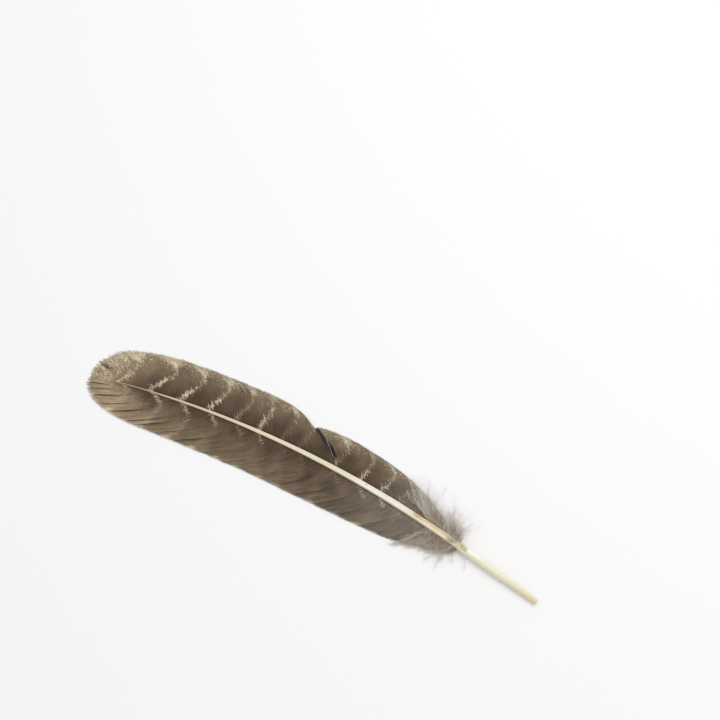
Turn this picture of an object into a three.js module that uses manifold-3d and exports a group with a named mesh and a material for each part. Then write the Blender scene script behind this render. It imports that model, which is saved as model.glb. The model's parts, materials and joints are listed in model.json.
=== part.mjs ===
// A barred wing feather of the kind quill pens are made from, lying grooved side up: a hollow
// barrel, a tapering rachis with a pith core, two webs of barbs in separate runs, and down at the
// base. Millimetres, +Z up, +X toward the open end of the barrel, underside on Z = 0.
//
// A place along the shaft is a "station": the distance from the barrel's open end. A place along
// the rachis is also given as a share of it, 0 at the barrel and 1 at its tip. Every barb lies on a
// curve that leaves the rachis at one station and ends at the margin, some way further tipward
// (its sweep) and out to the side (its span).

import * as THREE from "three";
import { mergeVertices } from "three/addons/utils/BufferGeometryUtils.js";
import Module from "manifold-3d";

const wasm = await Module();
wasm.setup();
const { lerp, clamp, smoothstep, degToRad } = THREE.MathUtils;

// ---- Driving dimensions -------------------------------------------------------------------

// Run of the shaft: the barrel is straight, the rachis bends sideways in one arc.
const BARREL_LENGTH = 51;
const RACHIS_LENGTH = 228;
const RACHIS_BEND_RADIUS = 664;
const BARREL_HEADING = degToRad(9.9); // between the barrel and the X axis
const SHAFT_ARCH = 2.6; // rise of the shaft's middle above its two ends

// Barrel: a thin tube with a narrow open end and a closure at the rachis.
const BARREL_END_WIDTH = 3.0;
const BARREL_WIDTH = 4.1;
const BARREL_SWELL = 30; // length over which the end widens to the full barrel
const BARREL_WALL = 0.45;
const BARREL_END_BORE = 1.7;
const BARREL_CLOSURE = 0.9;
const BARREL_HEIGHT_SHARE = 0.94; // height over width

// Rachis: a square-shouldered, grooved taper, hollow where the pith lies.
const RACHIS_BASE_WIDTH = 4.1;
const RACHIS_TIP_WIDTH = 0.5;
const RACHIS_TAPER = 1.25; // above 1 the width is held near the base and lost near the tip
const RACHIS_HEIGHT_SHARE = 0.86;
const RACHIS_SQUARENESS = 0.8; // 1 is a round section, less has fuller corners
const RACHIS_WALL = 0.45;
const GROOVE_DEPTH_SHARE = 0.13; // of the rachis height
const GROOVE_WIDTH_SHARE = 0.16; // of the rachis width
const GROOVE_RUN_IN = 14; // length over which the groove deepens from the barrel on
const PITH_END_WIDTH = 2.9; // the pith reaches to where the shaft has narrowed to this width

// What lies inside the barrel, and the plug in its upper wall.
const PULP_CAP_COUNT = 4;
const PULP_CAP_PITCH = 9;
const PULP_CAP_FIRST = 9; // station of the first cap
const PULP_CAP_DEPTH = 1.6;
const PULP_CAP_SKIN = 0.3;
const TIP_PLUG_LENGTH = 3;
const TIP_PLUG_RECESS = 0.8;
const UMBILICUS_WIDTH = 1.3;
const UMBILICUS_SETBACK = 3.2; // from the barrel's closed end to the middle of the hole
const UMBILICUS_PLUG_HEIGHT = 0.6;

// Webs: rows of [share of the rachis, sweep, span], from the base toward the tip.
const OUTER_BASE_RIBS = [[0, 4.5, 3.2], [0.06, 11, 12.6], [0.12, 18.4, 18], [0.21, 21.2, 20.4],
  [0.3, 22.8, 21], [0.375, 22.6, 18.7]];
const OUTER_TIP_RIBS = [[0.375, 23.8, 16.9], [0.41, 25.6, 22], [0.46, 27, 24.5], [0.58, 28.4, 25.1],
  [0.69, 27.4, 25.5], [0.8, 26.2, 25], [0.91, 25.8, 20.8], [0.965, 24, 12.6], [1, 20, 1.8]];
const INNER_RIBS = [[0, 1.6, 4.4], [0.03, 4.4, 10.6], [0.1, 10.6, 18.4], [0.2, 18.8, 22.9],
  [0.34, 24.4, 25.2], [0.43, 27.4, 25.4], [0.52, 30.4, 25.6], [0.64, 37, 25.4], [0.78, 38.6, 23.4],
  [0.87, 37.6, 18], [0.92, 34.2, 12], [0.965, 27.6, 6.6], [1, 20, 0.9]];
const BARB_LEAN_IN = 0.34; // share of the sweep that the curve's control point takes
const BARB_LEAN_OUT = 0.6; // share of the span that it takes
const VANE_THICKNESS = 0.5;
const VANE_ROOT_DROP = 0.12; // barbs leave the shaft this share of its height below its middle
const VANE_DROOP = 1.6; // above 1 the web stays level near the rachis and falls at the margin
const OUTER_RUN_ENDS = [0.1, 0.235, 0.375, 0.58, 0.75, 0.9, 1]; // shares at which runs part
const INNER_RUN_ENDS = [0.1, 0.25, 0.45, 0.64, 0.79, 0.91, 1];
const RUN_GAP = 0.8; // along the shaft, between one run of barbs and the next

// Down: short soft tufts at the barrel end of both webs, and one over the umbilicus.
const DOWN_START = 1; // from the start of the rachis
const DOWN_TUFTS_PER_SIDE = 2;
const DOWN_THICKNESS = 1.1;
const DOWN_REACH = 0.8; // share of each barb's curve that the solid tuft fills
const AFTERFEATHER_LENGTH = 8;
const AFTERFEATHER_WIDTH = 3.2;
const AFTERFEATHER_HEIGHT = 1.0;

// Between touching pieces, and under the margins.
const GAP = 0.3;
const MARGIN_LIFT = 0.05;

// ---- Materials ----------------------------------------------------------------------------

const finish = (color, roughness) => new THREE.MeshStandardMaterial({ color, roughness, metalness: 0 });
const MATERIALS = {
  horn: finish(0xe6dfc6, 0.35),
  cortex: finish(0xe4dec8, 0.45),
  pith: finish(0xf2efe4, 0.9),
  membrane: finish(0xd8cba4, 0.6),
  plug: finish(0xb98d55, 0.7),
  outerWeb: finish(0x6f604e, 0.8),
  innerWeb: finish(0x685a4b, 0.8),
  down: finish(0x8f867c, 0.95),
};

const feather = new THREE.Group();

function addPart(name, geometry, material) {
  const mesh = new THREE.Mesh(geometry, material);
  mesh.name = name;
  feather.add(mesh);
}

// ---- Shaft line ---------------------------------------------------------------------------

const SHAFT_LENGTH = BARREL_LENGTH + RACHIS_LENGTH;

// Width of the shaft at a station.
function shaftWidth(station) {
  if (station <= BARREL_LENGTH) {
    return lerp(BARREL_END_WIDTH, BARREL_WIDTH, smoothstep(station, 0, BARREL_SWELL));
  }
  const share = clamp((station - BARREL_LENGTH) / RACHIS_LENGTH, 0, 1);
  return lerp(RACHIS_BASE_WIDTH, RACHIS_TIP_WIDTH, share ** RACHIS_TAPER);
}

// Height over width: nearly round along the barrel, flatter along the rachis.
function heightShare(station) {
  const turnedFlat = smoothstep(station, BARREL_LENGTH / 2, BARREL_LENGTH + GROOVE_RUN_IN);
  return lerp(BARREL_HEIGHT_SHARE, RACHIS_HEIGHT_SHARE, turnedFlat);
}

const shaftHeight = (station) => shaftWidth(station) * heightShare(station);

// Middle of the shaft at a station, its tipward direction and its outer side.
function shaftLine(station) {
  const alongArc = Math.max(station - BARREL_LENGTH, 0);
  const alongBarrel = station - alongArc;
  const heading = BARREL_HEADING - alongArc / RACHIS_BEND_RADIUS;
  const share = station / SHAFT_LENGTH;
  const footing = lerp(shaftHeight(0), shaftHeight(SHAFT_LENGTH) + VANE_THICKNESS, share) / 2;
  return {
    middle: new THREE.Vector3(
      -alongBarrel * Math.cos(BARREL_HEADING)
        - RACHIS_BEND_RADIUS * (Math.sin(BARREL_HEADING) - Math.sin(heading)),
      alongBarrel * Math.sin(BARREL_HEADING)
        + RACHIS_BEND_RADIUS * (Math.cos(heading) - Math.cos(BARREL_HEADING)),
      footing + SHAFT_ARCH * Math.sin(Math.PI * clamp(share, 0, 1)),
    ),
    tipward: new THREE.Vector3(-Math.cos(heading), Math.sin(heading), 0),
    outward: new THREE.Vector3(Math.sin(heading), Math.cos(heading), 0),
  };
}

// Point beside and above the shaft's middle at a station.
function besideShaft(station, across, up) {
  const { middle, outward } = shaftLine(station);
  return middle.addScaledVector(outward, across).add(new THREE.Vector3(0, 0, up));
}

// ---- Solids -------------------------------------------------------------------------------

function merged(geometry) {
  geometry.deleteAttribute("normal");
  geometry.deleteAttribute("uv");
  return mergeVertices(geometry, 1e-4);
}

function toSolid(geometry) {
  const closed = merged(geometry);
  return new wasm.Manifold(new wasm.Mesh({
    numProp: 3,
    vertProperties: new Float32Array(closed.attributes.position.array),
    triVerts: new Uint32Array(closed.index.array),
  }));
}

function toGeometry(solid) {
  const { vertProperties, triVerts } = solid.getMesh();
  const geometry = new THREE.BufferGeometry();
  geometry.setAttribute("position", new THREE.BufferAttribute(vertProperties, 3));
  geometry.setIndex(new THREE.BufferAttribute(triVerts, 1));
  geometry.computeVertexNormals();
  return geometry;
}

// Moves every vertex of a geometry to where the given function puts it.
function reshaped(geometry, place) {
  const position = geometry.attributes.position;
  for (let i = 0; i < position.count; i++) {
    const { x, y, z } = place(position.getX(i), position.getY(i), position.getZ(i));
    position.setXYZ(i, x, y, z);
  }
  geometry.computeVertexNormals();
  return geometry;
}

// Closed bar along the shaft between two stations. section(station, cos, sin) gives the offsets
// across and up of the surface at one angle around the bar.
function barAlongShaft(from, to, steps, sides, section) {
  const cylinder = new THREE.CylinderGeometry(1, 1, 1, sides, steps);
  return reshaped(cylinder, (x, y, z) => {
    const station = lerp(from, to, y + 0.5);
    const onAxis = Math.hypot(x, z) < 0.5;
    const { across, up } = onAxis ? { across: 0, up: 0 } : section(station, x, z);
    return besideShaft(station, across, up);
  });
}

// Section of the shaft drawn in by a wall, with the groove along its upper side.
function shaftSection(station, cos, sin, wall) {
  const halfWidth = shaftWidth(station) / 2;
  const halfHeight = shaftHeight(station) / 2;
  const isRachis = smoothstep(station, BARREL_LENGTH, BARREL_LENGTH + GROOVE_RUN_IN);
  const power = lerp(1, RACHIS_SQUARENESS, isRachis);
  const across = Math.sign(cos) * Math.abs(cos) ** power * (halfWidth - wall);
  const groove = GROOVE_DEPTH_SHARE * 2 * halfHeight * isRachis
    * Math.exp(-((across / (GROOVE_WIDTH_SHARE * 2 * halfWidth)) ** 2));
  const up = Math.sign(sin) * Math.abs(sin) ** power * (halfHeight - wall);
  return { across, up: sin > 0 ? up - groove : up };
}

// ---- Barrel -------------------------------------------------------------------------------

// The bore narrows toward the open end, where it leaves a flat ring of wall.
function boreWidth(station) {
  const narrowing = smoothstep(station, 0, BARREL_SWELL);
  return lerp(BARREL_END_BORE, BARREL_WIDTH - 2 * BARREL_WALL, narrowing);
}

function boreSection(station, cos, sin) {
  const radius = boreWidth(station) / 2;
  return { across: cos * radius, up: sin * radius * BARREL_HEIGHT_SHARE };
}

const umbilicusStation = BARREL_LENGTH - UMBILICUS_SETBACK;

function umbilicusDrill(width, height) {
  const drill = new THREE.CylinderGeometry(width / 2, width / 2, height, 12);
  return drill.rotateX(Math.PI / 2);
}

function buildBarrel() {
  const outside = barAlongShaft(0, BARREL_LENGTH - GAP / 2, 20, 20, (station, cos, sin) =>
    shaftSection(station, cos, sin, 0));
  const bore = barAlongShaft(-1, BARREL_LENGTH - BARREL_CLOSURE, 18, 16, boreSection);
  const top = besideShaft(umbilicusStation, 0, BARREL_WIDTH / 2);
  const hole = umbilicusDrill(UMBILICUS_WIDTH, BARREL_WIDTH / 2).translate(top.x, top.y, top.z);
  addPart("quill_barrel", toGeometry(toSolid(outside).subtract(toSolid(bore))
    .subtract(toSolid(hole))), MATERIALS.horn);
}

function buildUmbilicusPlug() {
  const seat = besideShaft(umbilicusStation, 0,
    shaftHeight(umbilicusStation) / 2 - UMBILICUS_PLUG_HEIGHT / 2);
  addPart("umbilicus_plug",
    umbilicusDrill(UMBILICUS_WIDTH - 2 * GAP, UMBILICUS_PLUG_HEIGHT).translate(seat.x, seat.y, seat.z),
    MATERIALS.plug);
}

// Turns a lathed piece, whose axis is Y, to lie along the barrel with its +Y toward the tip.
function seatInBarrel(geometry, station) {
  const { middle } = shaftLine(station);
  return geometry.rotateZ(Math.PI / 2 - BARREL_HEADING).translate(middle.x, middle.y, middle.z);
}

function buildTipPlug() {
  const radius = BARREL_END_BORE / 2 * BARREL_HEIGHT_SHARE - GAP;
  const plug = new THREE.CylinderGeometry(radius, radius, TIP_PLUG_LENGTH, 12);
  addPart("barrel_tip_plug", seatInBarrel(plug, TIP_PLUG_RECESS + TIP_PLUG_LENGTH / 2), MATERIALS.plug);
}

// Dried cup of pulp membrane, open toward the barrel's end.
function pulpCap(radius) {
  const wallRadius = radius - PULP_CAP_SKIN;
  const outline = [[0, PULP_CAP_DEPTH], [radius * 0.6, PULP_CAP_DEPTH * 0.8], [radius, 0],
    [wallRadius, 0], [wallRadius * 0.55, PULP_CAP_DEPTH * 0.6], [0, PULP_CAP_DEPTH - PULP_CAP_SKIN]];
  const points = outline.map(([x, y]) => new THREE.Vector2(x, y)).reverse();
  return new THREE.LatheGeometry(points, 14);
}

function buildPulpCaps() {
  for (let i = 0; i < PULP_CAP_COUNT; i++) {
    const station = PULP_CAP_FIRST + i * PULP_CAP_PITCH;
    const radius = boreWidth(station) / 2 * BARREL_HEIGHT_SHARE - GAP;
    addPart(`pulp_cap_${i + 1}`, seatInBarrel(pulpCap(radius), station), MATERIALS.membrane);
  }
}

// ---- Rachis -------------------------------------------------------------------------------

const rachisStart = BARREL_LENGTH + GAP / 2;
const pithShare = (RACHIS_BASE_WIDTH - PITH_END_WIDTH) / (RACHIS_BASE_WIDTH - RACHIS_TIP_WIDTH);
const pithEnd = BARREL_LENGTH + RACHIS_LENGTH * pithShare ** (1 / RACHIS_TAPER);

function buildRachis() {
  const outside = barAlongShaft(rachisStart, SHAFT_LENGTH, 36, 20, (station, cos, sin) =>
    shaftSection(station, cos, sin, 0));
  const inside = barAlongShaft(rachisStart - 1, pithEnd, 18, 20, (station, cos, sin) =>
    shaftSection(station, cos, sin, RACHIS_WALL));
  const pith = barAlongShaft(rachisStart, pithEnd - GAP, 18, 20, (station, cos, sin) =>
    shaftSection(station, cos, sin, RACHIS_WALL + GAP));
  addPart("rachis_shell", toGeometry(toSolid(outside).subtract(toSolid(inside))), MATERIALS.cortex);
  addPart("rachis_pith", pith, MATERIALS.pith);
}

// ---- Webs and down ------------------------------------------------------------------------

const stationOf = (share) => BARREL_LENGTH + share * RACHIS_LENGTH;
const shareOf = (station) => (station - BARREL_LENGTH) / RACHIS_LENGTH;

// Smooth value of one column of a rib table at a share of the rachis.
function ribValue(ribs, share, column) {
  const found = ribs.findIndex((rib, k) => k > 0 && share <= rib[0]) - 1;
  const i = found < 0 ? ribs.length - 2 : found;
  const slope = (k) => {
    const before = ribs[Math.max(k - 1, 0)];
    const after = ribs[Math.min(k + 1, ribs.length - 1)];
    return (after[column] - before[column]) / (after[0] - before[0]);
  };
  const [from, to] = [ribs[i], ribs[i + 1]];
  const width = to[0] - from[0];
  const t = clamp((share - from[0]) / width, 0, 1);
  const ease = t * t * (3 - 2 * t);
  return lerp(from[column], to[column], ease)
    + width * t * (1 - t) * (slope(i) * (1 - t) - slope(i + 1) * t);
}

// Point on the barb rooted at a station, a share of the way to the margin. side is 1 or -1.
function barbPoint(ribs, side, station, share) {
  const sweep = ribValue(ribs, shareOf(station), 1);
  const span = ribValue(ribs, shareOf(station), 2);
  const { middle, tipward, outward } = shaftLine(station);
  const rootAcross = shaftWidth(station) / 2 + GAP;
  const bezier = (start, control, end) =>
    (1 - share) ** 2 * start + 2 * share * (1 - share) * control + share ** 2 * end;
  const along = bezier(0, BARB_LEAN_IN * sweep, sweep);
  const across = bezier(rootAcross, lerp(rootAcross, Math.max(span, rootAcross), BARB_LEAN_OUT), span);
  const rootHeight = middle.z - VANE_ROOT_DROP * shaftHeight(station);
  const marginHeight = VANE_THICKNESS / 2 + MARGIN_LIFT;
  return new THREE.Vector3(middle.x, middle.y, lerp(rootHeight, marginHeight, share ** VANE_DROOP))
    .addScaledVector(tipward, along)
    .addScaledVector(outward, side * across);
}

// Closed plate that follows the barbs between two root stations, for a share of their length.
function barbPlate(ribs, side, from, to, thickness, reach) {
  const stepsAlong = Math.ceil((to - from) / 5);
  const plate = new THREE.BoxGeometry(1, 1, 1, 7, stepsAlong, 1);
  return reshaped(plate, (x, y, z) => {
    const station = lerp(from, to, 0.5 + side * y);
    const point = barbPoint(ribs, side, station, (x + 0.5) * reach);
    return point.setZ(Math.max(point.z, thickness / 2 + MARGIN_LIFT) + z * thickness);
  });
}

function ribsFor(sideName, station) {
  if (sideName === "inner") return INNER_RIBS;
  return shareOf(station) < OUTER_BASE_RIBS.at(-1)[0] ? OUTER_BASE_RIBS : OUTER_TIP_RIBS;
}

function buildWeb(sideName, side, runEnds, material) {
  for (let i = 0; i + 1 < runEnds.length; i++) {
    const from = stationOf(runEnds[i]) + RUN_GAP / 2;
    const to = stationOf(runEnds[i + 1]) - (i + 2 < runEnds.length ? RUN_GAP / 2 : 0);
    const plate = barbPlate(ribsFor(sideName, from), side, from, to, VANE_THICKNESS, 1);
    addPart(`${sideName}_vane_${i + 1}`, plate, material);
  }
}

function buildDown(sideName, side, webShare) {
  const start = BARREL_LENGTH + DOWN_START;
  const tuftLength = (stationOf(webShare) - start) / DOWN_TUFTS_PER_SIDE;
  for (let i = 0; i < DOWN_TUFTS_PER_SIDE; i++) {
    const from = start + i * tuftLength;
    const to = from + tuftLength - RUN_GAP;
    const plate = barbPlate(ribsFor(sideName, from), side, from, to, DOWN_THICKNESS, DOWN_REACH);
    addPart(`${sideName}_down_${i + 1}`, plate, MATERIALS.down);
  }
}

// Small tuft lying over the start of the rachis.
function buildAfterfeather() {
  const station = BARREL_LENGTH + AFTERFEATHER_LENGTH / 2;
  const above = shaftHeight(station) / 2 + GAP + AFTERFEATHER_HEIGHT / 2;
  const seat = besideShaft(station, 0, above);
  const tuft = new THREE.SphereGeometry(0.5, 14, 8)
    .scale(AFTERFEATHER_LENGTH, AFTERFEATHER_WIDTH, AFTERFEATHER_HEIGHT)
    .rotateZ(-BARREL_HEADING)
    .translate(seat.x, seat.y, seat.z);
  addPart("afterfeather", tuft, MATERIALS.down);
}

// ---- Assembly -----------------------------------------------------------------------------

buildBarrel();
buildUmbilicusPlug();
buildTipPlug();
buildPulpCaps();
buildRachis();
buildAfterfeather();
buildDown("outer", 1, OUTER_RUN_ENDS[0]);
buildDown("inner", -1, INNER_RUN_ENDS[0]);
buildWeb("outer", 1, OUTER_RUN_ENDS, MATERIALS.outerWeb);
buildWeb("inner", -1, INNER_RUN_ENDS, MATERIALS.innerWeb);

// The origin is the middle of the underside of the feather's bounding box.
const bounds = new THREE.Box3().setFromObject(feather);
const centre = bounds.getCenter(new THREE.Vector3());
feather.position.set(-centre.x, -centre.y, -bounds.min.z);

export default feather;
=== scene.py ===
"""An uncut barred wing feather, grooved side up: barrel, rachis, two webs of barbs and down."""

import json
import math

import bmesh
import bpy
import numpy as np
from mathutils import Matrix, Vector


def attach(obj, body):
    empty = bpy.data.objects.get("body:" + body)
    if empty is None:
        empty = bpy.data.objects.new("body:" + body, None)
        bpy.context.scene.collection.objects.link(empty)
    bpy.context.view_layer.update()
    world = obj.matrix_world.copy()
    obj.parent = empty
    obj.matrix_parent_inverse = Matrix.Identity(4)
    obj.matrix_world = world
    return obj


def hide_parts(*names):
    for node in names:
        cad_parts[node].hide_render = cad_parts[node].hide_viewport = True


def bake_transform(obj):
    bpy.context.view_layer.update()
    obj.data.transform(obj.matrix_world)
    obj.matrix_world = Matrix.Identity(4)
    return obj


bl_info = {
    "name": "Barred Wing Feather",
    "version": (1, 0, 0),
    "blender": (4, 5, 0),
    "location": "View3D > Sidebar > Feather",
    "description": "Builds a barred wing feather with separate barbs around its packed frame",
    "category": "Object",
}

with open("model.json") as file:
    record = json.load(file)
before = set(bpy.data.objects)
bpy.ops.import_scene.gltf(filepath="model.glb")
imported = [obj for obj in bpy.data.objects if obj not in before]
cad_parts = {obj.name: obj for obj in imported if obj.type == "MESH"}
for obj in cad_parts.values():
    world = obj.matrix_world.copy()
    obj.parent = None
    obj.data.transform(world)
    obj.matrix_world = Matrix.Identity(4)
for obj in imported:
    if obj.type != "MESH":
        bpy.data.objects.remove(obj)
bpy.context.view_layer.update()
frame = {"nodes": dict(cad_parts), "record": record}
MM = 0.001

# ---- The feather's line, in millimetres, as the frame has it --------------------

BARREL_LENGTH = 51
RACHIS_LENGTH = 228
SHAFT_LENGTH = BARREL_LENGTH + RACHIS_LENGTH
BEND_RADIUS = 664
BARREL_HEADING = math.radians(9.9)
SHAFT_ARCH = 2.6
BARREL_END_WIDTH = 3.0
BARREL_WIDTH = 4.1
BARREL_SWELL = 30
BARREL_END_BORE = 1.7
BARREL_HEIGHT_SHARE = 0.94
RACHIS_BASE_WIDTH = 4.1
RACHIS_TIP_WIDTH = 0.5
RACHIS_TAPER = 1.25
RACHIS_HEIGHT_SHARE = 0.86
RACHIS_SQUARENESS = 0.78  # 1 is a round section, less has fuller corners
GROOVE_RUN_IN = 14
GROOVE_WIDTH_SHARE = 0.34
BARREL_HOLLOW = 12
WEB_THICKNESS = 0.5
ROOT_DROP = 0.12  # of the shaft's height, from its middle down to the barbs' roots
ROOT_SETBACK = 0.42  # of the shaft's width, from its middle out to the roots
DROOP = 1.6  # above 1 a barb stays high near its root and comes down at the margin
LEAN_IN = 0.34
LEAN_OUT = 0.6

# Rows of share of the rachis, sweep and span, from the base toward the tip.
OUTER_BASE_RIBS = [(0, 4.5, 3.2), (0.06, 11, 12.6), (0.12, 18.4, 18), (0.21, 21.2, 20.4),
                   (0.3, 22.8, 21), (0.375, 22.6, 18.7)]
OUTER_TIP_RIBS = [(0.375, 23.8, 16.9), (0.41, 25.6, 22), (0.46, 27, 24.5), (0.58, 28.4, 25.1),
                  (0.69, 27.4, 25.5), (0.8, 26.2, 25), (0.91, 25.8, 20.8), (0.965, 24, 12.6),
                  (1, 20, 1.8)]
INNER_RIBS = [(0, 1.6, 4.4), (0.03, 4.4, 10.6), (0.1, 10.6, 18.4), (0.2, 18.8, 22.9),
              (0.34, 24.4, 25.2), (0.43, 27.4, 25.4), (0.52, 30.4, 25.6), (0.64, 37, 25.4),
              (0.78, 38.6, 23.4), (0.87, 37.6, 18), (0.92, 34.2, 12), (0.965, 27.6, 6.6),
              (1, 20, 0.9)]
OUTER_RUN_ENDS = [0.1, 0.235, 0.375, 0.58, 0.75, 0.9, 1]
INNER_RUN_ENDS = [0.1, 0.25, 0.45, 0.64, 0.79, 0.91, 1]
SPLIT_SHARE = OUTER_BASE_RIBS[-1][0]

# Stations at which the pale bars meet the rachis, and how clear each one is there.
BARS = [(84, 0.1), (94, 0.35), (106, 0.8), (120, 0.75), (137, 0.25), (161, 0.1), (172, 0.1),
        (188, 0.65), (202, 0.35), (220, 0.85), (239, 0.9), (259, 1), (282, 0.9)]
PATTERN_LENGTH = 320

# Stations at which one group of barbs laps over the next, and how deep the crease there is, which
# also sets how strong its painted shade and highlight are.
OUTER_FOLDS = [(62, 0.2), (90, 0.12), (113, 0.12), (168, 0.1), (190, 0.1), (214, 0.12),
               (240, 0.15), (262, 0.3), (275, 1)]
INNER_FOLDS = [(66, 0.2), (78, 0.3), (91, 0.45), (103, 0.5), (115, 0.55), (127, 0.6), (139, 0.5),
               (151, 0.4), (164, 0.3), (180, 0.4), (197, 0.65), (209, 0.4), (222, 1), (228, 0.8),
               (241, 1.1), (250, 0.65), (259, 1.15), (267, 0.6), (273, 1)]


# ---- Settings --------------------

def size(name, description, default):
    return bpy.props.FloatProperty(name=name, description=description, default=default,
                                   subtype="DISTANCE", unit="LENGTH", precision=5)


def turn(name, description, degrees):
    return bpy.props.FloatProperty(name=name, description=description,
                                   default=math.radians(degrees), subtype="ANGLE")


def number(name, description, default):
    return bpy.props.FloatProperty(name=name, description=description, default=default, min=0)


def whole(name, description, default):
    return bpy.props.IntProperty(name=name, description=description, default=default, min=1)


def colour(name, description, default):
    return bpy.props.FloatVectorProperty(name=name, description=description, default=default,
                                         subtype="COLOR", size=3, min=0, max=1)


def linear(red, green, blue):
    """A display colour of 0 to 255 as the linear one that shaders take."""
    return tuple((c / 255 / 12.92) if c < 11 else ((c / 255 + 0.055) / 1.055) ** 2.4
                 for c in (red, green, blue))


class ShaftSettings(bpy.types.PropertyGroup):
    groove: number("Groove depth", "Depth of the rachis groove over its height", 0.17)
    ridges: number("Striation depth", "Depth of the horn's fine lines, in millimetres", 0.02)
    barrel: colour("Barrel", "Translucent horn of the barrel", linear(226, 222, 194))
    cortex: colour("Rachis", "Opaque horn of the rachis", linear(224, 216, 192))
    stain_and_edge_shade: colour("Stain", "Tan marks at the base of the rachis", linear(206, 180, 118))


class WebSettings(bpy.types.PropertyGroup):
    pitch: size("Barb pitch", "Distance between barbs along the rachis", 0.45 * MM)
    overlap: number("Overlap", "Width of a barb over the room it has", 1.55)
    depth: size("Barb depth", "Thickness of a barb through its ridge", 0.16 * MM)
    ground: colour("Ground", "Dark grey-brown beside the rachis", linear(81, 65, 51))
    outside: colour("Outside", "Lighter brown toward the margin", linear(134, 116, 94))
    grey: colour("Grey", "Greyer brown of the base", linear(134, 123, 110))
    tip: colour("Tip", "Warm light brown of the feather's tip", linear(166, 144, 117))
    bar: colour("Bars", "Cream of the bars and the mottling", linear(226, 213, 184))


class DownSettings(bpy.types.PropertyGroup):
    barbs: whole("Barbs", "Downy barbs of each kind in a tuft", 26)
    barbules: whole("Barbules", "Barbules on a downy barb", 36)
    light: colour("Light down", "Pale ends of the down", linear(238, 231, 221))
    dark: colour("Dark down", "Dark roots of the down", linear(166, 149, 128))


class StageSettings(bpy.types.PropertyGroup):
    target: bpy.props.FloatVectorProperty(
        name="Camera target", description="Point that the camera looks at",
        default=(-4.883 * MM, 71.753 * MM, 0), subtype="TRANSLATION", unit="LENGTH", precision=5)
    azimuth: turn("Azimuth", "Camera's turn round the feather", 26.61)
    elevation: turn("Elevation", "Camera's height angle", 66)
    distance: size("Distance", "Camera's distance from its target", 614.4 * MM)
    lens: number("Lens", "Focal length in millimetres", 50)
    paper: colour("Floor", "Pale floor", (0.87, 0.865, 0.86))
    air: colour("Room light", "Faintly cool light from all sides", (0.985, 0.99, 1))
    air_strength: number("Room strength", "Strength of the light from all sides", 0.84)
    window: number("Window power", "Power of the soft lamp, in watts", 9.5)


# ---- Shape of the feather --------------------

def station_at(share):
    """The station of a share of the rachis."""
    return BARREL_LENGTH + RACHIS_LENGTH * share


def smooth(value, low, high):
    t = np.clip((value - low) / (high - low), 0, 1)
    return t * t * (3 - 2 * t)


def lerp(a, b, t):
    return a + (b - a) * t


def shaft_width(station):
    barrel = lerp(BARREL_END_WIDTH, BARREL_WIDTH, smooth(station, 0, BARREL_SWELL))
    along = np.clip((station - BARREL_LENGTH) / RACHIS_LENGTH, 0, 1)
    rachis = lerp(RACHIS_BASE_WIDTH, RACHIS_TIP_WIDTH, along ** RACHIS_TAPER)
    return np.where(station <= BARREL_LENGTH, barrel, rachis)


def shaft_height(station):
    flat = smooth(station, BARREL_LENGTH / 2, BARREL_LENGTH + GROOVE_RUN_IN)
    return shaft_width(station) * lerp(BARREL_HEIGHT_SHARE, RACHIS_HEIGHT_SHARE, flat)


def barrel_end():
    """Middle of the barrel's open end in the row frame, in millimetres, from the frame's mount."""
    mount = next(m for m in frame["record"]["mounts"] if m["name"] == "barrel_end")
    ring = (BARREL_END_WIDTH + BARREL_END_BORE) / 4
    outward = np.array((math.sin(BARREL_HEADING), math.cos(BARREL_HEADING), 0))
    return np.array(mount["pos_m"]) / MM - outward * ring


END = barrel_end()


def shaft_line(station):
    """Middle of the shaft at each station, its tipward direction and its outer side."""
    station = np.asarray(station, float)
    arc = np.maximum(station - BARREL_LENGTH, 0)
    straight = station - arc
    heading = BARREL_HEADING - arc / BEND_RADIUS
    along = station / SHAFT_LENGTH
    end_height = float(shaft_height(np.float64(SHAFT_LENGTH))) + WEB_THICKNESS
    footing = lerp(BARREL_END_WIDTH * BARREL_HEIGHT_SHARE, end_height, along) / 2
    sine, cosine = math.sin(BARREL_HEADING), math.cos(BARREL_HEADING)
    x = -straight * cosine - BEND_RADIUS * (sine - np.sin(heading))
    y = straight * sine + BEND_RADIUS * (np.cos(heading) - cosine)
    z = footing + SHAFT_ARCH * np.sin(math.pi * np.clip(along, 0, 1))
    zero = np.zeros_like(x)
    middle = np.stack((x + END[0], y + END[1], z), -1)
    tipward = np.stack((-np.cos(heading), np.sin(heading), zero), -1)
    outward = np.stack((np.sin(heading), np.cos(heading), zero), -1)
    return middle, tipward, outward


def rib_value(ribs, along, column):
    """Smooth value of one column of a rib table at each share of the rachis."""
    rows = np.array(ribs, float)
    knots, values = rows[:, 0], rows[:, column]
    last = len(knots) - 1
    ahead = np.minimum(np.arange(last + 1) + 1, last)
    behind = np.maximum(np.arange(last + 1) - 1, 0)
    slopes = (values[ahead] - values[behind]) / (knots[ahead] - knots[behind])
    cell = np.clip(np.searchsorted(knots, along) - 1, 0, last - 1)
    width = knots[cell + 1] - knots[cell]
    t = np.clip((along - knots[cell]) / width, 0, 1)
    bow = width * t * (1 - t) * (slopes[cell] * (1 - t) - slopes[cell + 1] * t)
    return lerp(values[cell], values[cell + 1], t * t * (3 - 2 * t)) + bow


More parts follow.
